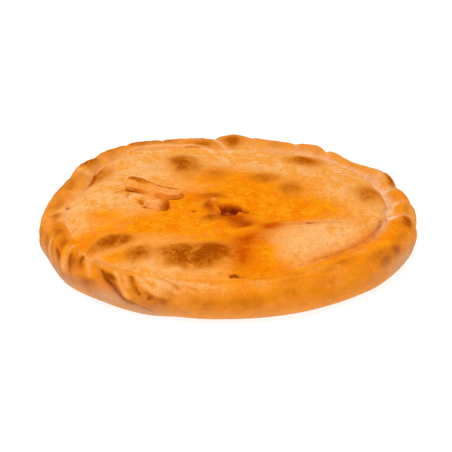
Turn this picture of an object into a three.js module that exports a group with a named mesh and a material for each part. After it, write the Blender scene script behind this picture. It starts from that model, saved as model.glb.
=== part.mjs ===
// A large round empanada: two rounds of dough shut over a filling by a rolled, pleated rim.
// The lid has settled into a low plateau inside the rim, is torn open at a small steam vent
// where the filling shows, and carries two scraps of dough. Millimetres, +Z up, +Y away from
// the viewer; the origin lies on the table under the middle of the crust's outline. Angles run
// round from +X.

import * as THREE from 'three';

// Driving dimensions.
const RADIUS = 140;             // of the outline, at the belly of the side wall
const BELLY_HEIGHT = 14;        // where the side wall stands out furthest
const LID_HEIGHT = 34;          // of the plateau inside the groove
const CREST_SETBACK = 12;       // of the rim's highest line from the outline
const BASE_SETBACK = 13;        // of the edge of the flat base from the outline
const CORE_SETBACK = 13;        // of the middle of the roll of dough from the outline
const COLUMN_STEP = 1.8;        // degrees between neighbouring columns of the rim
const PLEAT_SLANT = 11;         // degrees that a crease runs round between groove and base
const TOUCH_GAP = 0.5;          // left between pieces that lie on each other
const SECTION_SQUARENESS = 0.7; // of the scraps' sections: 1 is round, towards 0 is square

// Stations of [degrees, millimetres] round the pie, joined smoothly by around().
// OUTLINE is added to RADIUS; RIM_WIDTH is measured inwards from the outline to the groove.
const OUTLINE = [
  [2, 0.6], [12, -1], [22, -1], [45, -5], [66, -5], [90, -2], [128, 0], [160, -4], [180, -2.5],
  [192, -0.5], [203, -2], [218, 1.5], [232, 0], [246, 1], [256, -3.5], [275, -4.5], [300, -4.5],
  [330, -2], [347, -0.6],
];
const RIM_WIDTH = [
  [0, 23], [48, 18], [70, 24], [90, 29], [106, 22], [124, 14], [142, 18], [162, 24],
  [184, 22], [204, 18], [236, 13], [262, 12], [285, 20], [306, 25], [330, 22],
];
const CREST_HEIGHT = [
  [2, 34], [11, 32.5], [19, 35.5], [38, 31], [57, 36], [74, 35], [88, 37], [99, 35.5], [130, 37],
  [156, 37], [170, 31.5], [190, 31], [215, 32], [236, 30], [262, 28], [300, 28], [335, 29],
];
const GROOVE_HEIGHT = [
  [0, 27], [45, 28], [90, 30], [128, 32], [165, 28], [205, 27], [222, 27], [236, 28.6],
  [262, 27.8], [280, 26.5], [305, 26], [335, 26],
];
// How far inside the groove the lid needs for its climb: crisp on the right, slow in front.
const SHOULDER_WIDTH = [
  [0, 3], [90, 6], [150, 7], [200, 10], [235, 15], [275, 15], [305, 7], [330, 3.5],
];

// Creases between the pleats: [degrees where it leaves the groove, depth].
const CREASES = [
  [10, 5.4], [20, 1.2], [47.5, 3], [60, 1.6], [77, 1.4], [90.5, 3], [110, 1.6], [124, 2],
  [138.5, 3], [152.5, 7], [168, 2], [183, 5], [191, 5], [205.5, 7], [211.5, 6], [216.5, 5.5],
  [222.5, 4], [237, 2.4], [244, 2], [347.5, 6], [356, 5],
];
const CREASE_WIDTHS = { behind: 2.6, ahead: 5 };    // of its steep and of its easy side
const GROOVE_NOTCH = 0.3;       // how far a crease draws the groove outwards, per mm of depth

// The one broad fold, where the last pleat lies over the others: its line, as the column at
// places from groove (0) to base (1), and its depth and widths.
const FOLD_LINE = [[0.3, 224.5], [0.45, 227.2], [0.55, 229.6], [0.62, 231.6], [0.68, 234.4], [0.74, 238.5]];
const FOLD = { depth: 9, behind: 8, ahead: 2.2 };

// Swellings and hollows of the lid: middle, height, reach across and along, and turn.
const SWELLINGS = [
  { x: 58, y: -58, height: 3.4, across: 36, along: 22, turn: 15 },
  { x: 66, y: 14, height: 1.8, across: 34, along: 24, turn: 0 },
  { x: -20, y: -93, height: 2.8, across: 30, along: 17, turn: 0 },
  { x: -58, y: -90, height: 1.8, across: 15, along: 12, turn: 0 },
  { x: -82, y: -70, height: 2.4, across: 20, along: 11, turn: 20 },
  { x: -35, y: 76, height: 2, across: 17, along: 13, turn: 0 },
  { x: 29, y: 40, height: 1.2, across: 15, along: 10, turn: 0 },
  { x: 48, y: 19, height: 1.2, across: 12, along: 14, turn: 0 },
  { x: 60, y: 76, height: 1.6, across: 16, along: 9, turn: -30 },
  { x: 106, y: 6, height: 1.4, across: 10, along: 14, turn: 0 },
  { x: 50, y: -34, height: -3.2, across: 46, along: 9, turn: 3 },
  { x: 8, y: -78, height: -2, across: 12, along: 40, turn: 5 },
  { x: -10, y: -52, height: -1, across: 26, along: 12, turn: 0 },
  // Torn dough round the vent: a nub, two ridges, and a sunken tongue in front.
  { x: -10, y: -8, height: 3.2, across: 4, along: 4.4, turn: 0 },
  { x: -13.5, y: -22, height: 2, across: 4, along: 8, turn: 10 },
  { x: -9, y: -34, height: 1.8, across: 10, along: 3.5, turn: 18 },
  { x: 11, y: -41, height: -1.6, across: 10, along: 7, turn: 10 },
  { x: 3, y: -31, height: -1.4, across: 8, along: 6, turn: 0 },
];

// The steam vent: a torn hole with a raised lip, and what fills its bottom.
const VENT = { x: 1, y: -18, across: 7, along: 7.5, depth: 7, lip: 0.8 };

/** A value that passes smoothly through the stations as the angle goes round. */
function around(stations) {
  return (degrees) => {
    const angle = THREE.MathUtils.euclideanModulo(degrees, 360);
    const i = stations.findLastIndex(([at]) => at <= angle);
    const [from, a] = stations.at(i);
    const [to, b] = stations[(i + 1) % stations.length];
    const done = THREE.MathUtils.euclideanModulo(angle - from, 360);
    const span = THREE.MathUtils.euclideanModulo(to - from, 360);
    return a + (b - a) * THREE.MathUtils.smoothstep(done / span, 0, 1);
  };
}

const outline = around(OUTLINE);
const rimWidth = around(RIM_WIDTH);
const crestHeight = around(CREST_HEIGHT);
const grooveHeight = around(GROOVE_HEIGHT);
const shoulderWidth = around(SHOULDER_WIDTH);

/** Depth of a crease that starts at the given angle, seen from this column at this radius. */
function hollow(column, radius, start, depth, { behind, ahead }) {
  const turn = THREE.MathUtils.euclideanModulo(column - start + 180, 360) - 180;
  const distance = turn * THREE.MathUtils.DEG2RAD * radius;
  return depth * Math.exp(-Math.abs(distance) / (distance < 0 ? behind : ahead));
}

/** How far the creases press the dough in at this column. */
function creaseDepth(column, radius) {
  return Math.max(...CREASES.map(([at, depth]) => hollow(column, radius, at, depth, CREASE_WIDTHS)));
}

/** The column where the line of the broad fold passes this place between groove and base. */
function foldColumn(s) {
  const place = THREE.MathUtils.clamp(s, FOLD_LINE[0][0], FOLD_LINE.at(-1)[0]);
  const i = Math.max(FOLD_LINE.findIndex(([at]) => at >= place), 1);
  const [from, a] = FOLD_LINE[i - 1];
  const [to, b] = FOLD_LINE[i];
  return THREE.MathUtils.mapLinear(place, from, to, a, b);
}

function outerRadius(degrees) {
  return RADIUS + outline(degrees);
}

function grooveRadius(degrees) {
  const plain = outerRadius(degrees) - rimWidth(degrees);
  return plain + GROOVE_NOTCH * creaseDepth(degrees, plain);
}

/** Radius and height of the plain rim, where s runs from 0 in the groove to 1 at the base. */
function rimProfile(degrees, groove, s) {
  const outer = outerRadius(degrees);
  const crest = Math.max(outer - CREST_SETBACK, (groove + outer) / 2);
  const base = outer - BASE_SETBACK;
  const crestZ = crestHeight(degrees);
  const grooveZ = grooveHeight(degrees);
  if (s < 0.3) {
    const u = s / 0.3;
    return [groove + (crest - groove) * u, grooveZ + (crestZ - grooveZ) * Math.sin(u * Math.PI / 2)];
  }
  if (s < 0.65) {
    const turn = (s - 0.3) / 0.35 * Math.PI / 2;
    const rise = (crestZ - BELLY_HEIGHT) * Math.cos(turn);
    return [crest + (outer - crest) * Math.sin(turn), BELLY_HEIGHT + rise];
  }
  const turn = (s - 0.65) / 0.35 * Math.PI / 2;
  return [base + (outer - base) * Math.cos(turn), BELLY_HEIGHT * (1 - Math.sin(turn))];
}

/** A point of the pleated rim, on the column that leaves the groove at the given angle. */
function rimPoint(column, s) {
  const degrees = column + PLEAT_SLANT * s;
  const [radius, height] = rimProfile(degrees, grooveRadius(column), s);
  const coreRadius = outerRadius(degrees) - CORE_SETBACK;
  const coreDistance = Math.hypot(radius - coreRadius, height - BELLY_HEIGHT);
  const rising = (from, to) => THREE.MathUtils.smoothstep(s, from, to);
  const creases = creaseDepth(column, radius) * rising(0, 0.35) * (1 - rising(0.4, 0.85));
  const foldFade = rising(0.34, 0.52) * (1 - rising(0.7, 0.95));
  const fold = hollow(column, radius, foldColumn(s), FOLD.depth, FOLD) * foldFade;
  const press = Math.max(creases, fold) / coreDistance;
  const r = radius + (coreRadius - radius) * press;
  const z = height + (BELLY_HEIGHT - height) * press;
  const angle = degrees * THREE.MathUtils.DEG2RAD;
  return [r * Math.cos(angle), r * Math.sin(angle), z];
}

/** The vent's hole, below zero, and the torn dough raised round it. */
function ventShape(x, y) {
  const dx = (x - VENT.x) / VENT.across;
  const dy = (y - VENT.y) / VENT.along;
  const angle = Math.atan2(dy, dx);
  const ragged = 1 + 0.16 * Math.sin(3 * angle + 1) + 0.1 * Math.sin(5 * angle);
  const distance = Math.hypot(dx, dy) / ragged;
  const steepness = 7.5 + 3.5 * Math.sin(angle + 0.5);
  const hole = VENT.depth / (1 + Math.exp((distance - 1) * steepness));
  const uneven = 1 + 0.6 * Math.cos(angle - 2.4);
  return VENT.lip * uneven * Math.exp(-(((distance - 1.4) / 0.35) ** 2)) - hole;
}

/** Height of the lid over (x, y). */
function lidHeight(x, y) {
  const degrees = Math.atan2(y, x) * THREE.MathUtils.RAD2DEG;
  const inside = grooveRadius(degrees) - Math.hypot(x, y);
  let plateau = LID_HEIGHT;
  for (const swelling of SWELLINGS) {
    const turn = swelling.turn * THREE.MathUtils.DEG2RAD;
    const dx = x - swelling.x;
    const dy = y - swelling.y;
    const u = (dx * Math.cos(turn) + dy * Math.sin(turn)) / swelling.across;
    const v = (dy * Math.cos(turn) - dx * Math.sin(turn)) / swelling.along;
    plateau += swelling.height * Math.exp(-u * u - v * v);
  }
  const groove = grooveHeight(degrees);
  const climb = 1 - Math.exp(-Math.max(inside, 0) / shoulderWidth(degrees));
  return groove + (plateau - groove) * climb + ventShape(x, y);
}

/** A point of the lid, at fraction t of the way from the vent to the groove. */
function lidPoint(column, t) {
  const angle = column * THREE.MathUtils.DEG2RAD;
  const radius = grooveRadius(column);
  const x = VENT.x + (radius * Math.cos(angle) - VENT.x) * t;
  const y = VENT.y + (radius * Math.sin(angle) - VENT.y) * t;
  return [x, y, lidHeight(x, y)];
}

/** Column angles: every crease is a column, and the columns between creases come in fours. */
function rimColumns() {
  return CREASES.flatMap(([from], i) => {
    const to = i + 1 < CREASES.length ? CREASES[i + 1][0] : CREASES[0][0] + 360;
    const count = 4 * Math.max(1, Math.round((to - from) / COLUMN_STEP / 4));
    return Array.from({ length: count }, (_, k) => from + (to - from) * k / count);
  });
}

/** Collects points and faces, ring by ring, into one closed body. */
class Body {
  constructor() {
    this.points = [];
    this.faces = [];
  }

  ring(points) {
    const first = this.points.length;
    this.points.push(...points);
    return points.map((_, i) => first + i);
  }

  /** Joins an outer ring to an inner one that has as many points, or a whole fraction of them. */
  bridge(outer, inner) {
    const step = outer.length / inner.length;
    inner.forEach((a, i) => {
      for (let k = i * step; k < (i + 1) * step; k += 1) {
        this.faces.push(a, outer[k], outer[(k + 1) % outer.length]);
      }
      this.faces.push(a, outer[((i + 1) * step) % outer.length], inner[(i + 1) % inner.length]);
    });
  }

  /** Closes a ring with a fan round a middle point. */
  close(ring, point, flipped = false) {
    const [middle] = this.ring([point]);
    ring.forEach((a, i) => {
      const b = ring[(i + 1) % ring.length];
      this.faces.push(...(flipped ? [middle, b, a] : [middle, a, b]));
    });
  }

  geometry() {
    const geometry = new THREE.BufferGeometry();
    geometry.setAttribute('position', new THREE.Float32BufferAttribute(this.points.flat(), 3));
    geometry.setIndex(this.faces);
    geometry.computeVertexNormals();
    return geometry;
  }
}

/** The whole crust in one body: from the base over the rim to the groove, then over the lid. */
function crustGeometry() {
  const body = new Body();
  const everyOther = (list) => list.filter((_, i) => i % 2 === 0);
  const columns = rimColumns();
  const half = everyOther(columns);
  const quarter = everyOther(half);

  const base = body.ring(columns.map((column) => rimPoint(column, 1)));
  let last = base;
  for (const s of [0.92, 0.84, 0.76, 0.69, 0.62, 0.55, 0.48, 0.42, 0.36, 0.3, 0.24, 0.18, 0.12, 0.06]) {
    const ring = body.ring(columns.map((column) => rimPoint(column, s)));
    body.bridge(last, ring);
    last = ring;
  }
  const lidRings = [
    [columns, [1, 0.97]],
    [half, [0.935, 0.89, 0.835, 0.775, 0.71, 0.64, 0.57]],
    [quarter, [0.49, 0.41, 0.33, 0.26, 0.2, 0.165, 0.135, 0.11, 0.085, 0.06, 0.045, 0.03]],
  ];
  for (const [spread, fractions] of lidRings) {
    for (const t of fractions) {
      const ring = body.ring(spread.map((column) => lidPoint(column, t)));
      body.bridge(last, ring);
      last = ring;
    }
  }
  body.close(last, lidPoint(0, 0));
  body.close(base, [0, 0, 0], true);
  return body.geometry();
}

/** Draws a sine or cosine outwards, so that a round section gets flatter sides. */
function squared(value) {
  return Math.sign(value) * Math.abs(value) ** SECTION_SQUARENESS;
}

/**
 * A rounded bar that lies on the lid along a route of [x, y, half width, thickness] points.
 * Its underside follows the lid at the touching gap.
 */
function laidGeometry(route, stations, sides) {
  const path = new THREE.CatmullRomCurve3(route.map(([x, y]) => new THREE.Vector3(x, y, 0)));
  const sizes = new THREE.CatmullRomCurve3(route.map(([, , w, h]) => new THREE.Vector3(w, h, 0)));
  const body = new Body();
  const sectionPoint = (t, across, lift) => {
    const middle = path.getPoint(t);
    const along = path.getTangent(t);
    const { x: halfWidth, y: thickness } = sizes.getPoint(t);
    const x = middle.x - along.y * halfWidth * across;
    const y = middle.y + along.x * halfWidth * across;
    return [x, y, lidHeight(x, y) + TOUCH_GAP + thickness * lift];
  };
  const rings = Array.from({ length: stations }, (_, i) => {
    const points = Array.from({ length: sides }, (__, k) => {
      const turn = 2 * Math.PI * k / sides;
      return sectionPoint(i / (stations - 1), squared(Math.cos(turn)), 0.5 + 0.5 * squared(Math.sin(turn)));
    });
    return body.ring(points);
  });
  rings.slice(1).forEach((ring, i) => body.bridge(rings[i], ring));
  body.close(rings.at(-1), sectionPoint(1, 0, 0.5));
  body.close(rings[0], sectionPoint(0, 0, 0.5), true);
  return body.geometry();
}

// A torn strip of dough, broad at its left end.
const STRIP_ROUTE = [
  [-76, 24, 6.5, 5.2], [-73.5, 24, 7, 6], [-69, 22, 6.8, 6.2], [-63.5, 17.5, 6.2, 6],
  [-57, 12, 5.4, 5.8], [-50, 7, 4.9, 5.6], [-42, 4, 5.2, 5.4], [-36, 4, 4.8, 5], [-32.5, 5, 2.4, 3.4],
];
// A short curl of dough beside it.
const CURL_ROUTE = [
  [-60.5, -11, 2.4, 3], [-57.5, -11.5, 4.4, 4.6], [-52.5, -13.5, 4.8, 5], [-49.5, -16, 4, 4.4],
  [-46.5, -18, 5, 5.8], [-43.5, -18.5, 4.4, 5.4], [-41.8, -18.8, 2.2, 3.4],
];
// Filling that shows at the bottom of the vent.
const FILLING_ROUTE = [
  [-2.6, -17.2, 1, 1.6], [-1, -17.6, 2.2, 3], [2.4, -18.4, 2.4, 3.2], [4.6, -18.8, 1, 1.6],
];

const crustMaterial = new THREE.MeshStandardMaterial({ color: 0xf2a24e, roughness: 0.6, metalness: 0 });
const scrapMaterial = new THREE.MeshStandardMaterial({ color: 0xe08a30, roughness: 0.6, metalness: 0 });
const fillingMaterial = new THREE.MeshStandardMaterial({ color: 0x9c3c0c, roughness: 0.4, metalness: 0 });

function piece(name, geometry, material) {
  const mesh = new THREE.Mesh(geometry, material);
  mesh.name = name;
  return mesh;
}

const crust = piece('crust', crustGeometry(), crustMaterial);
const empanada = new THREE.Group();
empanada.add(crust);
empanada.add(piece('dough_strip', laidGeometry(STRIP_ROUTE, 15, 10), scrapMaterial));
empanada.add(piece('dough_curl', laidGeometry(CURL_ROUTE, 9, 10), scrapMaterial));
empanada.add(piece('filling', laidGeometry(FILLING_ROUTE, 6, 8), fillingMaterial));

// The origin stands under the middle of the crust's outline.
const middle = new THREE.Box3().setFromObject(crust).getCenter(new THREE.Vector3());
empanada.position.set(-middle.x, -middle.y, 0);

export default empanada;
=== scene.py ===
from math import cos, pi, radians, sin

import bpy
import numpy as np
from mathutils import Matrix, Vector


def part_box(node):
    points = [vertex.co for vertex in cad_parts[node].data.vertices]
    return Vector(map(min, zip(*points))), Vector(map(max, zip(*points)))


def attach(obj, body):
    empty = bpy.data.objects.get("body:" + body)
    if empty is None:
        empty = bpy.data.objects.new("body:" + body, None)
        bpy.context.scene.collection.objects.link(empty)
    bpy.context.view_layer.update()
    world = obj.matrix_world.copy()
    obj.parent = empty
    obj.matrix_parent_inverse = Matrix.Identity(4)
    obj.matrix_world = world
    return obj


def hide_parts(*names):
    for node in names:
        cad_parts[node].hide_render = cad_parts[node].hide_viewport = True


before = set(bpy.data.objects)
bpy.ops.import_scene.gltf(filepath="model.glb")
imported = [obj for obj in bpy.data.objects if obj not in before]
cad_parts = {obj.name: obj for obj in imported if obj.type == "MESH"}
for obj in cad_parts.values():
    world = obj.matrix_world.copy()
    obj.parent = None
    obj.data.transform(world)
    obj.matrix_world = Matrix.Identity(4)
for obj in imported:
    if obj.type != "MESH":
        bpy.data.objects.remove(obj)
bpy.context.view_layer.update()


# ---------------------------------------------------------------------------------------
# The crust: two rounds of bread dough, shut over the filling by a rim that is rolled and
# pleated by hand, and baked hard. A flat sheet has its edge drawn out and tucked under, and is
# then pressed into lid, groove, rim and side wall.

# Sizes are in mm, and angles in degrees round from +X, seen from above.
MM = 0.001
RADIUS = 140            # of the outline, at the belly of the side wall
BELLY_HEIGHT = 14       # where the side wall stands out furthest
LID_HEIGHT = 34         # of the plateau inside the groove
CREST_SETBACK = 12      # of the rim's highest line from the outline
BASE_SETBACK = 13       # of the edge of the flat base from the outline
CORE_SETBACK = 13       # of the middle of the roll of dough from the outline
PLEAT_SLANT = 11        # degrees that a crease runs round between groove and base

# Places on the rim, from 0 in the groove to 1 at the base.
CREST_PLACE = 0.3
BELLY_PLACE = 0.65

# Stations of (degrees, mm) round the pie. OUTLINE is added to RADIUS, RIM_WIDTH is taken
# inwards from the outline to the groove.
OUTLINE = [
    (2, 0.6), (12, -1), (22, -1), (45, -5), (66, -5), (90, -2), (128, 0), (160, -4),
    (180, -2.5), (192, -0.5), (203, -2), (218, 1.5), (232, 0), (246, 1), (256, -3.5),
    (275, -4.5), (300, -4.5), (330, -2), (347, -0.6),
]
RIM_WIDTH = [
    (0, 23), (48, 18), (70, 24), (90, 29), (106, 22), (124, 14), (142, 18), (162, 24),
    (184, 22), (204, 18), (236, 13), (262, 12), (285, 20), (306, 25), (330, 22),
]
CREST_HEIGHT = [
    (2, 34), (11, 32.5), (19, 35.5), (38, 31), (57, 36), (74, 35), (88, 37), (99, 35.5),
    (130, 37), (156, 37), (170, 31.5), (190, 31), (215, 32), (236, 30), (262, 28), (300, 28),
    (335, 29),
]
GROOVE_HEIGHT = [
    (0, 27), (45, 28), (90, 30), (128, 32), (165, 28), (205, 27), (222, 27), (236, 28.6),
    (262, 27.8), (280, 26.5), (305, 26), (335, 26),
]
SHOULDER_WIDTH = [
    (0, 3), (90, 6), (150, 7), (200, 10), (235, 15), (275, 15), (305, 7), (330, 3.5),
]

# Creases between the pleats: degrees where each leaves the groove, and its depth.
CREASES = [
    (10, 5.4), (20, 1.2), (47.5, 3), (60, 1.6), (77, 1.4), (90.5, 3), (110, 1.6), (124, 2),
    (138.5, 3), (152.5, 7), (168, 2), (183, 5), (191, 5), (205.5, 7), (211.5, 6),
    (216.5, 5.5), (222.5, 4), (237, 2.4), (244, 2), (347.5, 6), (356, 5),
]
DEEP_CREASE = 4         # a crease of this depth or more stays quite pale
CREASE_BEHIND = 2.6     # width of a crease's steep side, under the overlapping pleat
CREASE_AHEAD = 5        # width of its easy side
CREASE_STRETCH = (0, 0.35), (0.4, 0.85)     # places where it deepens, and where it dies away
GROOVE_NOTCH = 0.3      # how far a crease draws the groove outwards, for each mm of depth

# The one broad fold, where the last pleat lies over the others: the degrees of its line at
# places on the rim, its depth, its widths, and how far the pleat's edge laps over it.
FOLD_LINE = [
    (0.3, 224.5), (0.45, 227.2), (0.55, 229.6), (0.62, 231.6), (0.68, 234.4), (0.74, 238.5),
]
FOLD_DEPTH, FOLD_BEHIND, FOLD_AHEAD = 9, 8, 2.2
FOLD_STRETCH = (0.34, 0.52), (0.7, 0.95)
LAP, LAP_REACH = 3, 3
LAP_STRETCH = (0.36, 0.5), (0.65, 0.95)

# Swellings and hollows of the lid: x, y, height, reach across, reach along, turn. The last
# ones are torn dough round the vent: a nub, two ridges, and a sunken tongue in front.
SWELLINGS = [
    (58, -58, 3.4, 36, 22, 15), (66, 14, 1.8, 34, 24, 0), (-20, -93, 2.8, 30, 17, 0),
    (-58, -90, 1.8, 15, 12, 0), (-82, -70, 2.4, 20, 11, 20), (-35, 76, 2, 17, 13, 0),
    (29, 40, 1.2, 15, 10, 0), (48, 19, 1.2, 12, 14, 0), (60, 76, 1.6, 16, 9, -30),
    (106, 6, 1.4, 10, 14, 0), (50, -34, -3.2, 46, 9, 3), (8, -78, -2, 12, 40, 5),
    (-10, -52, -1, 26, 12, 0), (-10, -8, 3.2, 4, 4.4, 0), (-13.5, -22, 2, 4, 8, 10),
    (-9, -34, 1.8, 10, 3.5, 18), (11, -41, -1.6, 10, 7, 10), (3, -31, -1.4, 8, 6, 0),
]
VENT_X, VENT_Y = 1.0, -18.0
VENT_ACROSS, VENT_ALONG = 7, 7.5    # half the size of the hole along x and y
VENT_DEPTH, VENT_LIP = 7, 0.8       # of the hole, and of the torn dough raised round it
VENT_LIP_PLACE, VENT_LIP_WIDTH = 1.4, 0.35      # of that dough, as shares of the half size


def smooth(x, low=0.0, high=1.0):
    """Rises smoothly from 0 at low to 1 at high."""
    share = np.clip((x - low) / (high - low), 0, 1)
    return share * share * (3 - 2 * share)


def between(x, rise, fade):
    """Rises smoothly from 0 to 1 over one stretch, and falls back to 0 over a later one."""
    return smooth(x, *rise) * (1 - smooth(x, *fade))


def around(stations):
    """A value that passes smoothly through the stations as the angle goes round."""
    first = stations[0][0]
    angles = np.array([angle for angle, _ in stations] + [first + 360])
    values = np.array([value for _, value in stations] + [stations[0][1]])

    def value_at(degrees):
        turned = (degrees - first) % 360 + first
        i = np.clip(np.searchsorted(angles, turned, side="right") - 1, 0, len(stations) - 1)
        step = smooth((turned - angles[i]) / (angles[i + 1] - angles[i]))
        return values[i] + (values[i + 1] - values[i]) * step

    return value_at


outline = around(OUTLINE)
rim_width = around(RIM_WIDTH)
crest_height = around(CREST_HEIGHT)
groove_height = around(GROOVE_HEIGHT)
shoulder_width = around(SHOULDER_WIDTH)


def crease_hollow(distance, deep, behind, ahead):
    """Depth of a crease or fold at this distance round past its line."""
    return deep * np.exp(-np.abs(distance) / np.where(distance < 0, behind, ahead))


def distance_round(column, start, radius):
    """How far a point lies round past the start, in mm; less than 0 before it."""
    return np.radians((column - start + 180) % 360 - 180) * radius


def crease_depth(column, radius):
    """How far the creases press the dough in at this column of the rim."""
    depth = np.zeros_like(column)
    for start, deep in CREASES:
        distance = distance_round(column, start, radius)
        depth = np.maximum(depth, crease_hollow(distance, deep, CREASE_BEHIND, CREASE_AHEAD))
    return depth


def crease_nearness(column, radius, reach):
    """1 on the line of a deep crease, fading over the reach; less for a shallow one."""
    nearness = np.zeros_like(column)
    for start, deep in CREASES:
        line = np.exp(-((distance_round(column, start, radius) / reach) ** 2))
        nearness = np.maximum(nearness, min(deep / DEEP_CREASE, 1) * line)
    return nearness


def past_fold(column, s, radius):
    """How far a point of the rim lies round past the line of the broad fold, in mm."""
    return distance_round(column, np.interp(s, *zip(*FOLD_LINE)), radius)


def fold_depth(column, s, radius):
    """How far the broad fold presses the dough in."""
    return crease_hollow(past_fold(column, s, radius), FOLD_DEPTH, FOLD_BEHIND, FOLD_AHEAD)


def outer_radius(degrees):
    return RADIUS + outline(degrees)


def groove_radius(degrees):
    plain = outer_radius(degrees) - rim_width(degrees)
    return plain + GROOVE_NOTCH * crease_depth(degrees, plain)


def rim_surface(column, s):
    """Points of the rim; s runs from 0 in the groove to 1 at the base."""
    degrees = column + PLEAT_SLANT * s
    groove, outer = groove_radius(column), outer_radius(degrees)
    crest = np.maximum(outer - CREST_SETBACK, (groove + outer) / 2)
    base = outer - BASE_SETBACK
    crest_z, groove_z = crest_height(degrees), groove_height(degrees)
    inner = np.clip(s / CREST_PLACE, 0, 1)
    wall = np.clip((s - CREST_PLACE) / (BELLY_PLACE - CREST_PLACE), 0, 1) * pi / 2
    tuck = np.clip((s - BELLY_PLACE) / (1 - BELLY_PLACE), 0, 1) * pi / 2
    radius = np.select(
        [s < CREST_PLACE, s < BELLY_PLACE],
        [groove + (crest - groove) * inner, crest + (outer - crest) * np.sin(wall)],
        base + (outer - base) * np.cos(tuck),
    )
    height = np.select(
        [s < CREST_PLACE, s < BELLY_PLACE],
        [
            groove_z + (crest_z - groove_z) * np.sin(inner * pi / 2),
            BELLY_HEIGHT + (crest_z - BELLY_HEIGHT) * np.cos(wall),
        ],
        BELLY_HEIGHT * (1 - np.sin(tuck)),
    )
    core = outer - CORE_SETBACK
    to_core = np.hypot(radius - core, height - BELLY_HEIGHT)
    crease = crease_depth(column, radius) * between(s, *CREASE_STRETCH)
    fold = fold_depth(column, s, radius) * between(s, *FOLD_STRETCH)
    press = np.maximum(crease, fold) / to_core
    r = radius + (core - radius) * press
    angle = np.radians(degrees)
    return r * np.cos(angle), r * np.sin(angle), height + (BELLY_HEIGHT - height) * press


def spot(x, y, middle_x, middle_y, across, along, turn=0):
    """A soft oval patch: 1 in its middle, fading to 0 outside its reach."""
    c, s = cos(radians(turn)), sin(radians(turn))
    dx, dy = x - middle_x, y - middle_y
    u, v = (dx * c + dy * s) / across, (dy * c - dx * s) / along
    return np.exp(-u * u - v * v)


def vent_shape(x, y):
    """The vent's hole, below zero, and the torn dough raised round it."""
    dx, dy = (x - VENT_X) / VENT_ACROSS, (y - VENT_Y) / VENT_ALONG
    angle = np.arctan2(dy, dx)
    ragged = 1 + 0.16 * np.sin(3 * angle + 1) + 0.1 * np.sin(5 * angle)
    distance = np.hypot(dx, dy) / ragged
    # The wall is steepest at the back, and the lip stands highest at the back left.
    steepness = 7.5 + 3.5 * np.sin(angle + 0.5)
    hole = VENT_DEPTH / (1 + np.exp(np.clip((distance - 1) * steepness, -50, 50)))
    uneven = 1 + 0.6 * np.cos(angle - 2.4)
    return VENT_LIP * uneven * np.exp(-(((distance - VENT_LIP_PLACE) / VENT_LIP_WIDTH) ** 2)) - hole


def lid_height(x, y):
    """Height of the lid over (x, y)."""
    degrees = np.degrees(np.arctan2(y, x))
    inside = np.maximum(groove_radius(degrees) - np.hypot(x, y), 0)
    plateau = LID_HEIGHT
    for middle_x, middle_y, height, across, along, turn in SWELLINGS:
        plateau = plateau + height * spot(x, y, middle_x, middle_y, across, along, turn)
    groove = groove_height(degrees)
    climb = 1 - np.exp(-inside / shoulder_width(degrees))
    return groove + (plateau - groove) * climb + vent_shape(x, y)


LID_CELLS = 190         # cells across the sheet of dough that becomes the lid
RIM_STEPS = 50          # rings drawn out of its edge for the rim and side wall
RING_GROWTH = 0.01      # of the flat sheet's half width, for each of those rings
VENT_CROWDING = 1.2     # crowds the cells of the lid towards the vent
BASE_RINGS = (0.9, 0.75, 0.55, 0.3, 0.1)    # rings of the base, as shares of the sheet

bpy.ops.object.select_all(action="DESELECT")
bpy.ops.mesh.primitive_grid_add(x_subdivisions=LID_CELLS, y_subdivisions=LID_CELLS, size=2)
crust = bpy.context.active_object
crust.name = crust.data.name = "baked_crust"
bpy.ops.object.mode_set(mode="EDIT")
bpy.ops.mesh.select_mode(type="EDGE")
bpy.ops.mesh.select_all(action="DESELECT")
bpy.ops.mesh.select_non_manifold()
for ring in range(RIM_STEPS):
    before, after = 1 + ring * RING_GROWTH, 1 + (ring + 1) * RING_GROWTH
    bpy.ops.mesh.extrude_edges_move()
    bpy.ops.transform.resize(value=(after / before,) * 3, center_override=(0, 0, 0))
# The base: the edge is drawn in under the sheet, kept level a step below it, and closed.
bpy.ops.mesh.extrude_edges_move(TRANSFORM_OT_translate={"value": (0, 0, -1)})
previous = 1.0
for share in BASE_RINGS:
    bpy.ops.transform.resize(value=(share / previous,) * 3, center_override=(0, 0, -1))
    previous = share
    if share != BASE_RINGS[-1]:
        bpy.ops.mesh.extrude_edges_move()
bpy.ops.mesh.edge_face_add()
bpy.ops.mesh.select_all(action="SELECT")
bpy.ops.mesh.normals_make_consistent(inside=False)
bpy.ops.object.mode_set(mode="OBJECT")

# The flat sheet's square rings become round ones. Each point gets its column, in degrees round,
# 45 for each half side of its square, and its place between vent, groove and base.
flat = np.empty(len(crust.data.vertices) * 3)
crust.data.vertices.foreach_get("co", flat)
flat = flat.reshape(-1, 3)
u, v = flat[:, 0], flat[:, 1]
reach = np.maximum(np.abs(u), np.abs(v))
wide = np.abs(u) >= np.abs(v)
safe = np.where(reach < 1e-9, 1, reach)
turn_wide = np.where(u >= 0, v / safe, 4 - v / safe)
turn_tall = np.where(v >= 0, 2 - u / safe, 6 + u / safe)
column = (np.where(wide, turn_wide, turn_tall) * 45) % 360
under = flat[:, 2] < -0.5
lid = (reach <= 1 + 1e-6) & ~under
along_rim = np.clip((reach - 1) / (RIM_STEPS * RING_GROWTH), 0, 1)

from_vent = np.minimum(reach, 1) ** VENT_CROWDING
groove = groove_radius(column)
angle = np.radians(column)
lid_x = VENT_X + (groove * np.cos(angle) - VENT_X) * from_vent
lid_y = VENT_Y + (groove * np.sin(angle) - VENT_Y) * from_vent
rim_x, rim_y, rim_z = rim_surface(column, along_rim)

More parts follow.
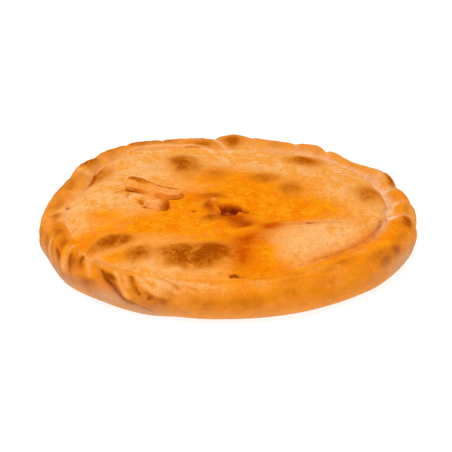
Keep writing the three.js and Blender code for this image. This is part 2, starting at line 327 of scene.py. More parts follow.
# The last pleat's edge laps over the broad fold.
lapped = np.maximum(past_fold(column, along_rim, outer_radius(column)), 0) / LAP_REACH
lap = LAP * lapped * np.exp(1 - lapped) * between(along_rim, *LAP_STRETCH)
rim_angle = np.radians(column + PLEAT_SLANT * along_rim)
rim_x = rim_x + lap * np.sin(rim_angle)
rim_y = rim_y - lap * np.cos(rim_angle)

base_x, base_y, _ = rim_surface(column, np.ones_like(column))
share = reach / (1 + RIM_STEPS * RING_GROWTH)
x = np.select([lid, under], [lid_x, base_x * share], rim_x)
y = np.select([lid, under], [lid_y, base_y * share], rim_y)
z = np.select([lid, under], [lid_height(lid_x, lid_y), np.zeros_like(x)], rim_z)

# Where the crust browned, soaked up oil, stayed pale or was stained by the filling; some of the
# browning is painted shade. On the lid a patch is x, y, reach across, reach along, turn, strength,
# in mm and degrees.
LID_BROWNS_AND_SHADES = [
    (-77, -74, 14, 8, 12, 1.15), (-92, -79, 8, 7, 30, 0.35), (-60, -92, 10, 12, 0, 0.75),
    (-9, -91, 15, 12, -8, 1), (-33, -93, 14, 13, 0, 0.9), (-22, -102, 20, 11, 0, 1),
    (-34, 67, 13, 20, 10, 0.85), (-9, 48, 12, 18, 0, 0.45), (28, 38, 13, 12, 10, 0.65),
    (47, 14, 11, 21, 0, 0.55), (59, 74, 17, 10, -16, 0.85), (104, 6, 12, 17, 0, 0.65),
    (34, 101, 18, 6, 0, 0.25), (10, -38, 10, 8, 5, 0.8), (-9, -34, 10, 5, 18, 0.8),
    (-7, -27, 6, 6, 0, 0.6), (2, -31, 6, 4, 0, 0.6), (-12, 6, 12, 9, 0, 0.5),
    # The last patch, by the groove at the far left, is painted shade below the rim's pleat.
    (-14, -16, 6, 10, 0, 0.3), (-99, 48, 10, 22, -30, 0.6),
]
LID_OILS = [
    (-5, -30, 44, 50, 0, 1.8), (-30, -6, 20, 14, 0, 1.2), (20, -6, 34, 14, 0, 1.4),
    (50, -20, 42, 20, 0, 1.4), (-62, -48, 34, 16, 12, 1.2), (-88, -32, 16, 14, 0, 0.9),
    (25, 12, 36, 26, 0, 1.3), (0, 36, 32, 24, 0, 1), (18, -95, 20, 26, 0, 1.3),
    (-100, -70, 14, 16, 0, 1.2), (-74, -93, 14, 8, 0, 0.9), (-68, -60, 20, 10, 10, 0.8),
]
LID_PALES = [
    (-62, 52, 48, 34, 0, 0.7), (25, 66, 44, 13, 0, 0.8), (54, -74, 34, 19, 10, 2.4),
    (-80, 4, 22, 14, 0, 0.8), (-79, -4, 8, 9, 0, 1), (-76, -100, 28, 6, -18, 1.2),
    (-28, -117, 24, 5, 0, 1), (-110, -16, 12, 34, 0, 0.8), (-46, 14, 14, 8, 0, 0.8),
    (94, -8, 18, 34, 0, 0.8), (-65, -58, 6, 6, 0, 0.8),
]
LID_STAINS = [
    (16, -70, 13, 11, 20, 0.85), (10, -92, 9, 18, 0, 0.85), (-4, -88, 9, 12, 0, 0.8),
    (31, -52, 9, 10, 0, 0.95), (11, -40, 10, 7, 0, 0.9), (56, -51, 24, 3, 4, 0.4),
    (-13, -18, 5, 9, 0, 0.8), (5, -31, 9, 7, 0, 1), (-9, -34, 9, 4, 18, 0.5),
    (-14, 3, 10, 8, 0, 0.6), (-7, -27, 6, 6, 0, 0.5),
]
# Small dark pits, at x, y, z, and a split that runs from the vent, painted dark as shade in its
# narrow opening.
PITS = [
    (-117, -6, 28), (-60, -17, 34), (-51, -130, 18), (-58, -128, 20), (-24, -24, 34),
    (57, -52, 37),
]
PIT_REACH = 1.5
VENT_SPLIT = [(3, -15), (9, -20), (14, -24)]
SPLIT_REACH = 2.4

# On the rim a patch is degrees, place on the rim, reach in each, strength.
RIM_BROWNS = [
    (17, 0.36, 5, 0.07, 0.6), (4, 0.36, 4, 0.06, 0.25), (354, 0.36, 4, 0.06, 0.25),
    (345.5, 0.38, 3, 0.09, 0.9), (336, 0.42, 5, 0.06, 0.3), (329.5, 0.49, 3.5, 0.07, 0.7),
    (323.5, 0.51, 4, 0.06, 0.6), (321, 0.43, 6, 0.08, 0.4), (309, 0.3, 5, 0.08, 0.35),
    (303, 0.36, 4, 0.06, 0.28), (300, 0.5, 5, 0.1, 0.3), (288, 0.4, 4, 0.08, 0.2),
    (288, 0.54, 4, 0.08, 0.25), (276, 0.6, 6, 0.1, 0.25), (264, 0.63, 6, 0.09, 0.26),
    (254, 0.64, 4, 0.08, 0.3), (285, 0.62, 30, 0.14, 0.12), (246, 0.7, 12, 0.1, 0.3),
    (240, 0.6, 3.5, 0.2, 0.3), (236.6, 0.47, 4, 0.045, 0.9), (227, 0.62, 5, 0.05, 0.45),
    (88.5, 0.18, 3.5, 0.14, 0.55), (102, 0.08, 6, 0.1, 0.5), (122, 0.27, 14, 0.12, 0.32),
    (150, 0.28, 6, 0.1, 0.4), (170, 0.26, 8, 0.14, 0.2), (182, 0.27, 4, 0.14, 0.28),
    (191, 0.22, 3.5, 0.1, 0.35), (203.5, 0.3, 3.4, 0.11, 0.42), (210.8, 0.35, 2.5, 0.1, 0.6),
    (219.3, 0.5, 2.4, 0.12, 0.8), (223.3, 0.4, 2.4, 0.13, 0.65), (219, 0.68, 14, 0.06, 0.5),
    (198, 0.56, 10, 0.1, 0.3),
]
RIM_OILS = [
    (353, 0.24, 4, 0.12, 0.9), (4, 0.24, 5, 0.12, 0.8), (14, 0.3, 4, 0.1, 0.5),
    (342, 0.3, 5, 0.2, 0.9), (330, 0.32, 12, 0.18, 0.8), (200, 0.3, 6, 0.2, 0.7),
    (184, 0.35, 5, 0.16, 0.6), (172, 0.3, 6, 0.12, 0.5), (214, 0.5, 8, 0.2, 0.6),
    (146, 0.35, 8, 0.1, 0.5),
]
RIM_PALES = [
    (340, 0.14, 5, 0.1, 0.6), (318, 0.2, 5, 0.1, 0.5), (296, 0.25, 6, 0.1, 0.5),
    (280, 0.35, 5, 0.1, 0.5), (253, 0.3, 12, 0.34, 1.1), (229, 0.18, 10, 0.2, 1.3),
    (262, 0.42, 10, 0.12, 0.7), (22, 0.2, 8, 0.2, 0.8),
]
# Flour that stuck low on the side wall and dulls it.
RIM_DUST = [
    (208, 0.76, 18, 0.16, 0.9), (335, 0.68, 15, 0.13, 0.9), (235, 0.72, 6, 0.12, 0.8),
    (246, 0.85, 9, 0.16, 0.5),
]

# Wrinkles, lips and cracks in the crust: the points, the width of each, how far it stands out
# (or is pressed in), how brown it is (on some lines painted shade) and how pale; above 1 it is
# whitened as well. On the lid the points are x, y in mm.
LID_LINES = [
    ([(-83, 10), (-78, 14), (-73, 10), (-74, 1)], 1.8, 0.9, 0.5, 0),
    # Painted shadow under the strip's left end: a pressed-in line, darkened.
    ([(-74, 15), (-66, 13.5)], 2.6, -0.5, 0.8, 0),
    ([(-71, 2), (-65, 4), (-58, -1), (-57, -9)], 2, 1, 0, 1),
    ([(-64, -4), (-62, -10)], 2.2, -0.8, 0.9, 0),
    ([(-86, -17), (-70, -18), (-55, -24)], 2.4, 0.7, 0, 0.7),
    ([(-10.5, -9), (-9.5, -5)], 2.2, 0.5, 0, 1.05),
    (VENT_SPLIT, 2, -1.2, 0, 0),
    ([(-14, -9), (-15, -17), (-12, -25)], 3, 0, 0.4, 0),
    ([(-14, 4), (-8, 6), (-2, 3)], 3, 0, 0.25, 0),
    # These two lines are pressed in along the lid's front right edge; their darker colour is
    # painted shade in that crease.
    ([(109, -33), (107.5, -43), (102, -56.5), (97, -64)], 0.9, -0.3, 0.35, 0),
    ([(91, -70.5), (83, -78.5), (74, -84), (67, -88)], 0.8, -0.2, 0.3, 0),
    ([(2, -119), (5, -117.5), (8, -119.5), (11, -119)], 1.2, -0.8, 1.6, 0),
    ([(-20, 107), (-15, 103), (-12, 95)], 2.4, 1, 0, 1.2),
    ([(0, 108), (1.5, 94)], 1.8, -0.4, 0, 1.15),
    ([(4, 95), (20, 99), (36, 98)], 2, 0.6, 0, 1),
    ([(-60, -118), (-46, -115), (-34, -113)], 3, 0.5, 0, 0.6),
]
# On the rim the points are degrees and place on the rim.
RIM_LINES = [
    ([(214, 0.1), (211, 0.32), (211, 0.45), (210.4, 0.6)], 2, 0.5, 0, 0.95),
    ([(219.5, 0.05), (221.5, 0.3), (222, 0.42), (222, 0.52)], 2, 0.5, 0, 0.8),
    ([(199, 0.48), (198, 0.58), (201, 0.66)], 1.8, 0.3, 0, 1.1),
    ([(204.4, 0.5), (205.6, 0.58), (207, 0.63)], 1.7, -0.7, 1, 0),
    ([(233, 0.4), (234, 0.5), (235.4, 0.62)], 3, 0.3, 0, 0.8),
    ([(236, 0.34), (236.2, 0.5)], 1.8, 0.5, 0, 0.7),
    ([(238, 0.34), (238.6, 0.52)], 2.6, -0.4, 0.5, 0),
    ([(240.5, 0.32), (242, 0.44), (244, 0.5)], 3, 0.5, 0, 0.7),
    ([(248.3, 0.1), (249.4, 0.28), (251, 0.44)], 2.2, -0.5, 0.25, 0),
    ([(245, 0.06), (246.4, 0.3), (247, 0.42)], 3, 0.4, 0, 0.6),
    ([(254.5, 0.42), (256.6, 0.44)], 1.1, -0.3, 0.25, 0),
    ([(247.6, 0.52), (249, 0.54)], 1.6, -0.3, 0.15, 0),
    ([(242.2, 0.54), (243.4, 0.6), (245.4, 0.62)], 2.6, -0.4, 0.3, 0),
    ([(252, 0.3), (262, 0.36)], 4, 0.4, 0, 0.6),
    ([(267, 0.1), (276, 0.18), (284, 0.23), (292, 0.22)], 1.4, -0.4, 0.25, 0),
    ([(294, 0.2), (301, 0.13)], 1, -0.3, 0.2, 0),
    ([(128, 0.04), (113, 0.07), (102, 0.07), (98, 0.02)], 2.2, 0.7, 0, 0.8),
    ([(94, 0.34), (91.4, 0.16), (90, 0)], 1.8, -0.8, 0, 1.1),
    ([(151, 0.32), (151.6, 0.14), (152.4, 0)], 2, 0.3, 0, 0.8),
    ([(349, 0), (348, 0.12), (347, 0.26)], 1.8, -0.6, 0, 1.7),
]
RIM_LENGTH = 60         # from groove to base over the rim, in mm
RIM_SEAM = 30           # degrees from which the lines' place round the rim is measured

# Parts of the rim, as the places where each comes in and, where a second stretch is given, dies
# away again.
PLEATED = (0.02, 0.2), (0.5, 0.8)
FOLD_LIP = (0.38, 0.47), (0.68, 0.85)
RIM_SLOPE = (0.02, 0.16)        # of the groove
FOLD_SLOPE = (0.3, 0.45)
BELLY, LOW_WALL, FOOT_OF_WALL = (0.45, 0.75), (0.58, 0.88), (0.6, 0.9)
# Parts of the lid, in the same way, as shares of the way from vent to groove.
LID_EDGE = (0.965, 0.985), (0.985, 1)
LID_SLOPE = (0.96, 1)           # of the groove
BY_GROOVE, IN_GROOVE = (0.88, 0.97), (0.97, 0.99)
# And in mm: half the width of a crease's pale line and the way from it to a crown, the browned
# lip past the fold's line and its reach, the end of the slope down to that line, and the depths
# at which the vent is stained and painted darker as shade.
CREASE_REACH, CROWN_GAP = 2.4, 5
FOLD_LIP_PLACE, FOLD_LIP_REACH = 3.2, 3.4
SLOPE_PAST_FOLD = -1.5
STAINED_DEPTH, VENT_SHADE_DEPTH = (0.2, 3), (1.2, 4.5)
LEFT_EDGE_SHADE, LEFT_EDGE_SHADE_REACH = 156, 13      # degrees where painted shade darkens the lid's edge, below the rim's pleat

on_lid = lid.astype(float)
on_rim = (~lid & ~under).astype(float)
degrees = (column + PLEAT_SLANT * along_rim) % 360


def patches(x, y, spots):
    """Soft patches laid over each other, each x, y, across, along, turn, strength."""
    cover = np.zeros_like(x)
    for middle_x, middle_y, across, along, turned, strength in spots:
        patch = strength * spot(x, y, middle_x, middle_y, across, along, turned)
        cover = np.maximum(cover, patch) + 0.4 * np.minimum(cover, patch)
    return cover


def rim_patches(spots):
    """Soft patches on the rim; where they lie over each other the strongest shows."""
    cover = np.zeros_like(x)
    for middle, down, reach_round, reach_down, strength in spots:
        turned = (degrees - middle + 180) % 360 - 180
        patch = strength * spot(turned, along_rim, 0, down, reach_round, reach_down)
        cover = np.maximum(cover, patch)
    return cover * on_rim


def stroke(x, y, points, width):
    """A soft line through the points: 1 along it, fading over its width."""
    nearest = np.full_like(x, np.inf)
    for (ax, ay), (bx, by) in zip(points, points[1:]):
        step_x, step_y = bx - ax, by - ay
        along = ((x - ax) * step_x + (y - ay) * step_y) / (step_x**2 + step_y**2)
        along = np.clip(along, 0, 1)
        off_line = np.hypot(x - ax - along * step_x, y - ay - along * step_y)
        nearest = np.minimum(nearest, off_line)
    return np.exp(-((nearest / width) ** 2))


def laid_on(cover, places):
    """Adds to the cover of a finish at these places, each given as strength and mask."""
    return cover + sum(strength * place for strength, place in places)


# Where a point of the crust lies: each of these is 1 there, and fades to 0 round it.
outer = outer_radius(degrees)
pleated = between(along_rim, *PLEATED) * on_rim
creases = crease_nearness(column, outer, CREASE_REACH) * pleated
crowns = (1 - crease_nearness(column, outer, CROWN_GAP)) * pleated
beyond = past_fold(column, along_rim, outer)
fold_lip = np.exp(-(((beyond - FOLD_LIP_PLACE) / FOLD_LIP_REACH) ** 2)) * on_rim
fold_lip = fold_lip * between(along_rim, *FOLD_LIP)
fold_slope = fold_depth(column, along_rim, outer) / FOLD_DEPTH * (beyond < SLOPE_PAST_FOLD)
fold_slope = fold_slope * smooth(along_rim, *FOLD_SLOPE) * on_rim
slopes = (1 - smooth(along_rim, *RIM_SLOPE)) * on_rim + smooth(from_vent, *LID_SLOPE) * on_lid
lid_edge = between(from_vent, *LID_EDGE) * on_lid
belly = smooth(along_rim, *BELLY) * on_rim
low_wall = smooth(along_rim, *LOW_WALL) * on_rim
above_foot = (1 - smooth(along_rim, *FOOT_OF_WALL)) * on_rim
left_edge_shade = spot(column, 0, LEFT_EDGE_SHADE, 0, LEFT_EDGE_SHADE_REACH, 1)
right = smooth(np.cos(np.radians(column)), 0.1, 0.8)
left = smooth(-np.cos(np.radians(column)), 0.3, 0.8)
front = smooth(-np.sin(np.radians(column)), 0.1, 0.6)
back = smooth(np.sin(np.radians(column)), 0.1, 0.6)

# Browned besides the patches: the lid's edge, the rim, most on its crowns and on the fold's lip,
# the side wall from the belly down, and the base. On the lid's edge at the right, the back and the
# far left this is painted shade where the lid drops into the groove, and from the belly down it is
# partly painted shade.
browned = patches(x, y, LID_BROWNS_AND_SHADES) * on_lid + rim_patches(RIM_BROWNS)
browned = laid_on(browned, [
    # Painted shade along the lid's edge at the right, the back and the far left.
    (0.35, lid_edge * right), (0.25, lid_edge * back), (0.3, lid_edge * left_edge_shade), (0.05, on_rim),
    (0.12, on_rim * back), (0.06, on_rim * left), (0.12, crowns), (0.06, crowns * left),
    # From the belly down the darkening is partly browning and partly painted shade.
    (1.1, fold_lip), (0.15, belly), (0.5, under),
])

# Pale, as raw dough is: the creases, the slope into the fold and, except in front, the groove.
rim_pale = rim_patches(RIM_PALES)
paled = patches(x, y, LID_PALES) * on_lid + rim_pale
paled = laid_on(paled, [(1, creases), (1, fold_slope), (1, slopes), (-0.95, slopes * front)])

# Oiled: the front of the rim, where it isn't pale, and the front of the lid by the groove.
not_pale = 1 - np.clip(rim_pale, 0, 1)
oiled = patches(x, y, LID_OILS) * on_lid + rim_patches(RIM_OILS)
oiled = laid_on(oiled, [
    (0.15, on_rim), (0.8, above_foot * front * not_pale),
    (0.35, smooth(from_vent, *BY_GROOVE) * on_lid * front * (1 - left)),
    (0.35, smooth(from_vent, *IN_GROOVE) * on_lid * front * right),
])

# Flour dulls the side wall low down; at the right the groove's slope and the creases are whiter.
dusty = laid_on(rim_patches(RIM_DUST), [(0.3, low_wall), (0.3, low_wall * left)])
floured = laid_on(0, [(0.3, slopes * right * (1 - front)), (0.3, creases * right)])

# Stained red where the sauce seeped out, on the vent's wall and in blots along the lid's front
# edge. Deeper in the vent and along its split it is painted dark red as shade; the pits are dark
# red too.
vent_depth = -vent_shape(x, y)
blots = 0.5 + 0.5 * np.sin(np.radians(column) * 23) * np.sin(np.radians(column) * 37 + 1)
stained = laid_on(patches(x, y, LID_STAINS) * on_lid, [
    (0.9, smooth(vent_depth, *STAINED_DEPTH) * on_lid), (0.5, lid_edge * blots * front * right),
])
burnt = laid_on(0, [
    # Painted shade: darker deeper in the vent, and along its split.
    (0.9, smooth(vent_depth, *VENT_SHADE_DEPTH) * on_lid),
    (0.8, stroke(x, y, VENT_SPLIT, SPLIT_REACH) * on_lid),
])
points_in_mm = np.stack([x, y, z]).T
for pit in PITS:
    burnt = burnt + np.exp(-((points_in_mm - pit) ** 2).sum(axis=1) / PIT_REACH**2)

# Each line stands out or is pressed in, and is browner (on some lines as painted shade), paler or
# whiter along its length.
relief = np.zeros_like(x)
round_rim = (column - RIM_SEAM) % 360
for lines, on_part, u_place, v_place, u_start, u_scale, v_scale in (
    (LID_LINES, on_lid, x, y, 0, 1, 1),
    (RIM_LINES, on_rim, round_rim, along_rim, RIM_SEAM, radians(RADIUS), RIM_LENGTH),
):
    for points, width, height, brown, pale in lines:
        route = [((u_point - u_start) * u_scale, v_point * v_scale) for u_point, v_point in points]
        line = stroke(u_place * u_scale, v_place * v_scale, route, width) * on_part
        relief = relief + height * line
        browned = browned * (1 - min(pale, 1) * line) + brown * line
        oiled = oiled * (1 - 0.7 * min(pale, 1) * line)
        paled = paled + min(pale, 1) * line
        floured = floured + max(pale - 1, 0) * line

# The crust is laid in the middle of the frame's crust, and its points then follow the relief.
low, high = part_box("crust")
shift_x = (low.x + high.x) / 2 / MM - (x.min() + x.max()) / 2
shift_y = (low.y + high.y) / 2 / MM - (y.min() + y.max()) / 2
place = np.stack([x + shift_x, y + shift_y, z], axis=1) * MM
crust.data.vertices.foreach_set("co", place.ravel())
crust.data.update()
outwards = np.empty(len(place) * 3)
crust.data.vertices.foreach_get("normal", outwards)
place = place + outwards.reshape(-1, 3) * (relief * MM)[:, None]
crust.data.vertices.foreach_set("co", place.ravel())


FINISHES = ("browned", "oiled", "paled", "stained", "burnt", "dusty", "floured")


def lay_masks(piece, **masks):
    """Keeps how much of each finish lies on each point of the piece; 0 where none is given."""
    for finish in FINISHES:
        amount = np.clip(masks.get(finish, 0.0), 0, 2)
        layer = piece.data.attributes.new(finish, "FLOAT", "POINT")
        layer.data.foreach_set("value", np.full(len(layer.data), amount, np.float32))
    piece.data.update()


lay_masks(
    crust, browned=browned, oiled=oiled, paled=paled, stained=stained, burnt=burnt, dusty=dusty,
    floured=floured,
)

# The dough is uneven in blobs of these sizes, by these heights, in mm. The unevenness comes in
# slowly from the table up to a height of its own, so that the base stays flat.
UNEVENNESS = [(26, 1.6), (13, 0.7), (7, 0.6), (3.5, 0.35)]
FULLY_UNEVEN_HEIGHT = 8

above_table = crust.vertex_groups.new(name="above_table")
for start_height in range(1, FULLY_UNEVEN_HEIGHT + 1):
    higher = np.flatnonzero(z > start_height)
    above_table.add(higher.tolist(), start_height / FULLY_UNEVEN_HEIGHT, "REPLACE")


def roughen(piece, size, height, group=""):
    """Makes a piece uneven in blobs of this size and height, in mm, and keeps the result."""
    bpy.ops.object.select_all(action="DESELECT")
    piece.select_set(True)
    bpy.context.view_layer.objects.active = piece
    blobs = bpy.data.textures.new("uneven_dough", "CLOUDS")
    blobs.noise_scale = size * MM
    blobs.noise_depth = 2
    unevenness = piece.modifiers.new("unevenness", "DISPLACE")
    unevenness.texture = blobs
    unevenness.texture_coords = "LOCAL"
    unevenness.strength = height * MM
    unevenness.vertex_group = group
    bpy.ops.object.modifier_apply(modifier=unevenness.name)


for size, height in UNEVENNESS:
    roughen(crust, size, height, "above_table")
bpy.ops.object.shade_smooth()


class Wire:
    """A socket of a material's tree; arithmetic on it adds Math nodes."""

    def __init__(self, tree, socket=None):
        self.tree, self.socket = tree, socket

    def node(self, kind, settings, values, output=0):
        """Adds a node: its settings first, then its inputs' values or wires."""
        node = self.tree.nodes.new(kind)
        for name, setting in settings.items():
            setattr(node, name, setting)
        for name, value in values.items():
            if isinstance(value, Wire):
                self.tree.links.new(value.socket, node.inputs[name])
            else:
                node.inputs[name].default_value = value
        return Wire(self.tree, node.outputs[output])

    def math(self, operation, first, second):
        return self.node("ShaderNodeMath", {"operation": operation}, {0: first, 1: second})

    def __add__(self, other):
        return self.math("ADD", self, other)

    def __sub__(self, other):
        return self.math("SUBTRACT", self, other)

    def __rsub__(self, other):
        return self.math("SUBTRACT", other, self)

    def __mul__(self, other):
        return self.math("MULTIPLY", self, other)

    __radd__ = __add__
    __rmul__ = __mul__

    def clamped(self):
        return self.node("ShaderNodeClamp", {}, {"Value": self})

    def blend(self, first, second):
        """The first colour where this wire is 0, the second where it is 1."""
        values = {0: self, 6: first, 7: second}
        return self.node("ShaderNodeMix", {"data_type": "RGBA"}, values, output=2)

    def scaled(self, amount):
        """This colour, made lighter or darker."""
        return self.node("ShaderNodeVectorMath", {"operation": "SCALE"}, {0: self, 3: amount})

    def noise(self, size, detail):
        """Cloudy noise from 0 to 1 in blobs of this size in mm, on this wire's coordinates."""
        values = {"Vector": self, "Scale": 1 / (size * MM), "Detail": detail, "Roughness": 0.6}
        return self.node("ShaderNodeTexNoise", {}, values)

    def attribute(self, name):
        return self.node("ShaderNodeAttribute", {"attribute_name": name}, {}, output=2)


def srgb(red, green, blue):
    """A colour given in display values from 0 to 255."""
    shares = [value / 255 for value in (red, green, blue)]
    linear = [v / 12.92 if v <= 0.04045 else ((v + 0.055) / 1.055) ** 2.4 for v in shares]
    return (*linear, 1)


DOUGH = srgb(249, 162, 66)
PEACH = srgb(250, 184, 113)
DUSTY = srgb(214, 166, 128)
NEAR_WHITE = srgb(255, 232, 204)
OIL_GOLD = srgb(252, 154, 16)
OIL_ORANGE = srgb(247, 130, 3)
TOAST_AND_SHADE_ORANGE = srgb(230, 132, 28)
BROWN = srgb(165, 75, 4)
SPICE_RED = srgb(204, 80, 2)
DARK_RED = srgb(138, 40, 4)

# Sizes of the crust's markings, and the depth of its grain, in mm.
GRAIN_SIZE, MOTTLE_SIZE, CLOUD_SIZE, DRIFT_SIZE = 1.8, 6, 11, 30
BUMP_STRENGTH, BUMP_DEPTH = 0.5, 0.5
COLOUR_LEVEL = 0.905    # brings the whole crust to its lightness in the photograph

baked_dough = bpy.data.materials.new("baked_dough")
baked_dough.use_nodes = True
shader = baked_dough.node_tree.nodes["Principled BSDF"]
wire = Wire(baked_dough.node_tree)
coords = wire.node("ShaderNodeTexCoord", {}, {}, output=3)
grain = coords.noise(GRAIN_SIZE, 2) - 0.5
mottle = coords.noise(MOTTLE_SIZE, 3) - 0.5
drift = coords.noise(DRIFT_SIZE, 2) - 0.5
# The clouds are twice as long from front to back as they are wide.
halve_y = {0: coords, 1: (1, 0.5, 1)}
stretched = wire.node("ShaderNodeVectorMath", {"operation": "MULTIPLY"}, halve_y)
clouds = stretched.noise(CLOUD_SIZE, 3) - 0.5


def broken(name, coarse=1.0, fine=0.4):
    """A mask of the crust, broken up by the mottling."""
    mask = wire.attribute(name)
    return (mask * (1 + (mottle + clouds) * coarse + grain * fine)).clamped()


# Pale to golden dough, and over it oil, toasting, stains, browning (both partly painted shade),
# dust, dark red in the pits and as painted shade in the vent, and whitening.
pale = 0.25 + wire.attribute("paled") * 0.6
pale = pale + drift * 0.8 + clouds * 4.5 + mottle * 3.5 + grain * 0.4
colour = pale.clamped().blend(DOUGH, PEACH)
oil = (0.5 + clouds * 4 + mottle * 3).clamped().blend(OIL_ORANGE, OIL_GOLD)
soaked = wire.attribute("oiled") * (1 + (drift + clouds) * 1.8 + mottle * 1.6 + grain * 0.4)
colour = soaked.clamped().blend(colour, oil)
# The browned mask holds painted shade as well, and the toasting and browning here paint it.
brown = wire.attribute("browned")
toast_and_shade = brown * 1.6 + (drift + clouds) * 1.3 + mottle * 0.5 + grain * 0.5 - 0.08
toast_and_shade = toast_and_shade + (mottle + clouds) * brown * 1.4
colour = toast_and_shade.clamped().blend(colour, TOAST_AND_SHADE_ORANGE)
colour = broken("stained", 2, 0.8).blend(colour, SPICE_RED)
brown = brown * (1 + mottle * 1.8 + clouds * 1.4 + grain * 2.2)
colour = ((brown - 0.25) * 1.25).clamped().blend(colour, BROWN)
colour = (broken("dusty", 1.2) * 0.75).blend(colour, DUSTY)
colour = (broken("burnt", 0.6) * 0.95).blend(colour, DARK_RED)
colour = broken("floured").blend(colour, NEAR_WHITE)
colour = colour.scaled(COLOUR_LEVEL + grain * 0.7 + mottle * 0.2)
links = baked_dough.node_tree.links
links.new(colour.socket, shader.inputs["Base Color"])
roughness = 0.62 - wire.attribute("oiled") * 0.15 + grain * 0.1
links.new(roughness.socket, shader.inputs["Roughness"])
shader.inputs["Specular IOR Level"].default_value = 0.0
uneven = {"Strength": BUMP_STRENGTH, "Distance": BUMP_DEPTH * MM, "Height": grain * 0.5 + mottle}
bump = wire.node("ShaderNodeBump", {}, uneven)
links.new(bump.socket, shader.inputs["Normal"])
crust.data.materials.append(baked_dough)
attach(crust, "root")
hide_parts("crust")


# ---------------------------------------------------------------------------------------
# Two scraps of raw dough that dropped on the lid and baked onto it: a torn strip, broad at
# its left end and hollowed like a boat at its right, and a short curl in front of it.
# Each is drawn out straight, rounded, and then laid along its route over the lid.

# Routes over the lid, as x, y, half width and thickness in mm.
STRIP_ROUTE = [
    (-76, 24, 6.5, 5.2), (-73.5, 24, 7, 6), (-69, 22, 6.8, 6.2), (-63.5, 17.5, 6.2, 6),
    (-57, 12, 5.4, 5.8), (-50, 7, 4.9, 5.6), (-42, 4, 5.2, 5.4), (-36, 4, 4.8, 5),
    (-32.5, 5, 2.4, 3.4),
]
CURL_ROUTE = [
    (-60.5, -11, 2.4, 3), (-57.5, -11.5, 4.4, 4.6), (-52.5, -13.5, 4.8, 5), (-49.5, -16, 4, 4.4),
    (-46.5, -18, 5, 5.8), (-43.5, -18.5, 4.4, 5.4), (-41.8, -18.8, 2.2, 3.4),
]
SINK = 3                # how far a scrap reaches into the lid that it baked onto, in mm
FOOT, FOOT_HEIGHT = 0.25, 1.2   # how far a scrap spreads at the lid, and up to what height
CAGE_SPARE = 1.2        # rounding shrinks a bar, so it is drawn this much larger
ROUNDING_LEVELS = 4
BEND_REACH = 3          # mm ahead and behind over which a scrap takes its heading
BOAT_DEPTH, SLANT_DEPTH, DENT_DEPTH = 2.4, 1.2, 1.2     # hollows pressed into the scraps, in mm
SLANT_LINE = [(-75, 18), (-66, 17), (-58, 9)]   # the hollow on the left half of the strip
DENT = (-53, -12, 3, 2.5)       # the curl's dent: x, y, reach across, reach along
SCRAP_UNEVENNESS = [(5, 1.2), (2, 0.4)]     # sizes and heights of its blobs, in mm


def drawn_scrap(name, route):
    """A straight bar of dough along +X, with one section per station of the route."""
    points = np.array([(px, py) for px, py, _, _ in route])
    lengths = np.concatenate([[0], np.cumsum(np.hypot(*np.diff(points, axis=0).T))])
    bpy.ops.object.select_all(action="DESELECT")
    bpy.ops.mesh.primitive_cube_add(size=1, location=(0, 0, 0))
    scrap = bpy.context.active_object
    scrap.name = scrap.data.name = name
    # The cube's near end is the first station, and its far end is drawn on from there.
    bpy.ops.object.mode_set(mode="EDIT")
    bpy.ops.mesh.select_all(action="DESELECT")
    bpy.ops.object.mode_set(mode="OBJECT")
    for vertex in scrap.data.vertices:
        station = 1 if vertex.co.x > 0 else 0
        width, thick = (size * CAGE_SPARE for size in route[station][2:])
        height = (vertex.co.z + 0.5) * (thick + SINK)
        vertex.co = (lengths[station], np.sign(vertex.co.y) * width, height)
    for face in scrap.data.polygons:
        face.select = face.normal.x > 0.9
    bpy.ops.object.mode_set(mode="EDIT")
    bpy.ops.mesh.select_mode(type="FACE")
    for station in range(2, len(route)):
        (_, _, width, thick), (_, _, new_width, new_thick) = route[station - 1], route[station]
        step = lengths[station] - lengths[station - 1]
        bpy.ops.mesh.extrude_region_move(TRANSFORM_OT_translate={"value": (step, 0, 0)})
        bpy.ops.transform.resize(
            value=(1, new_width / width, (new_thick + SINK) / (thick + SINK)),
            center_override=(lengths[station], 0, 0),
        )
    bpy.ops.mesh.select_all(action="SELECT")
    bpy.ops.mesh.normals_make_consistent(inside=False)
    bpy.ops.object.mode_set(mode="OBJECT")
    return scrap, points, lengths


def finish_scrap(scrap, points, lengths):
    """Rounds the bar, bends it onto its route and settles it on the lid."""
    bpy.ops.object.select_all(action="DESELECT")
    scrap.select_set(True)
    bpy.context.view_layer.objects.active = scrap
    rounding = scrap.modifiers.new("rounding", "SUBSURF")
    rounding.levels = rounding.render_levels = ROUNDING_LEVELS
    bpy.ops.object.modifier_apply(modifier=rounding.name)
    straight = np.empty(len(scrap.data.vertices) * 3)
    scrap.data.vertices.foreach_get("co", straight)
    along, across, lift = straight.reshape(-1, 3).T
    lift = lift - SINK
    across = across * (1 + FOOT * np.exp(-((lift / FOOT_HEIGHT) ** 2)))

    def on_route(distance):
        """Points of the route at these distances along it, as x and y."""
        return np.stack([np.interp(distance, lengths, axis) for axis in points.T])

    heading = on_route(along + BEND_REACH) - on_route(along - BEND_REACH)
    ahead_x, ahead_y = heading / np.hypot(*heading)
    middle_x, middle_y = on_route(along)
    px = middle_x - ahead_y * across
    py = middle_y + ahead_x * across
    pz = lid_height(px, py) + lift
    laid = np.stack([px + shift_x, py + shift_y, pz], axis=1) * MM
    scrap.data.vertices.foreach_set("co", laid.ravel())
    scrap.data.update()
    bpy.ops.object.shade_smooth()
    return px, py, lift


def raise_points(scrap, heights):
    """Lifts each point of the scrap by its own height in mm."""
    place = np.empty(len(scrap.data.vertices) * 3)
    scrap.data.vertices.foreach_get("co", place)
    place[2::3] += heights * MM
    scrap.data.vertices.foreach_set("co", place)
    scrap.data.update()


strip, strip_points, strip_lengths = drawn_scrap("torn_strip", STRIP_ROUTE)
px, py, lift = finish_scrap(strip, strip_points, strip_lengths)
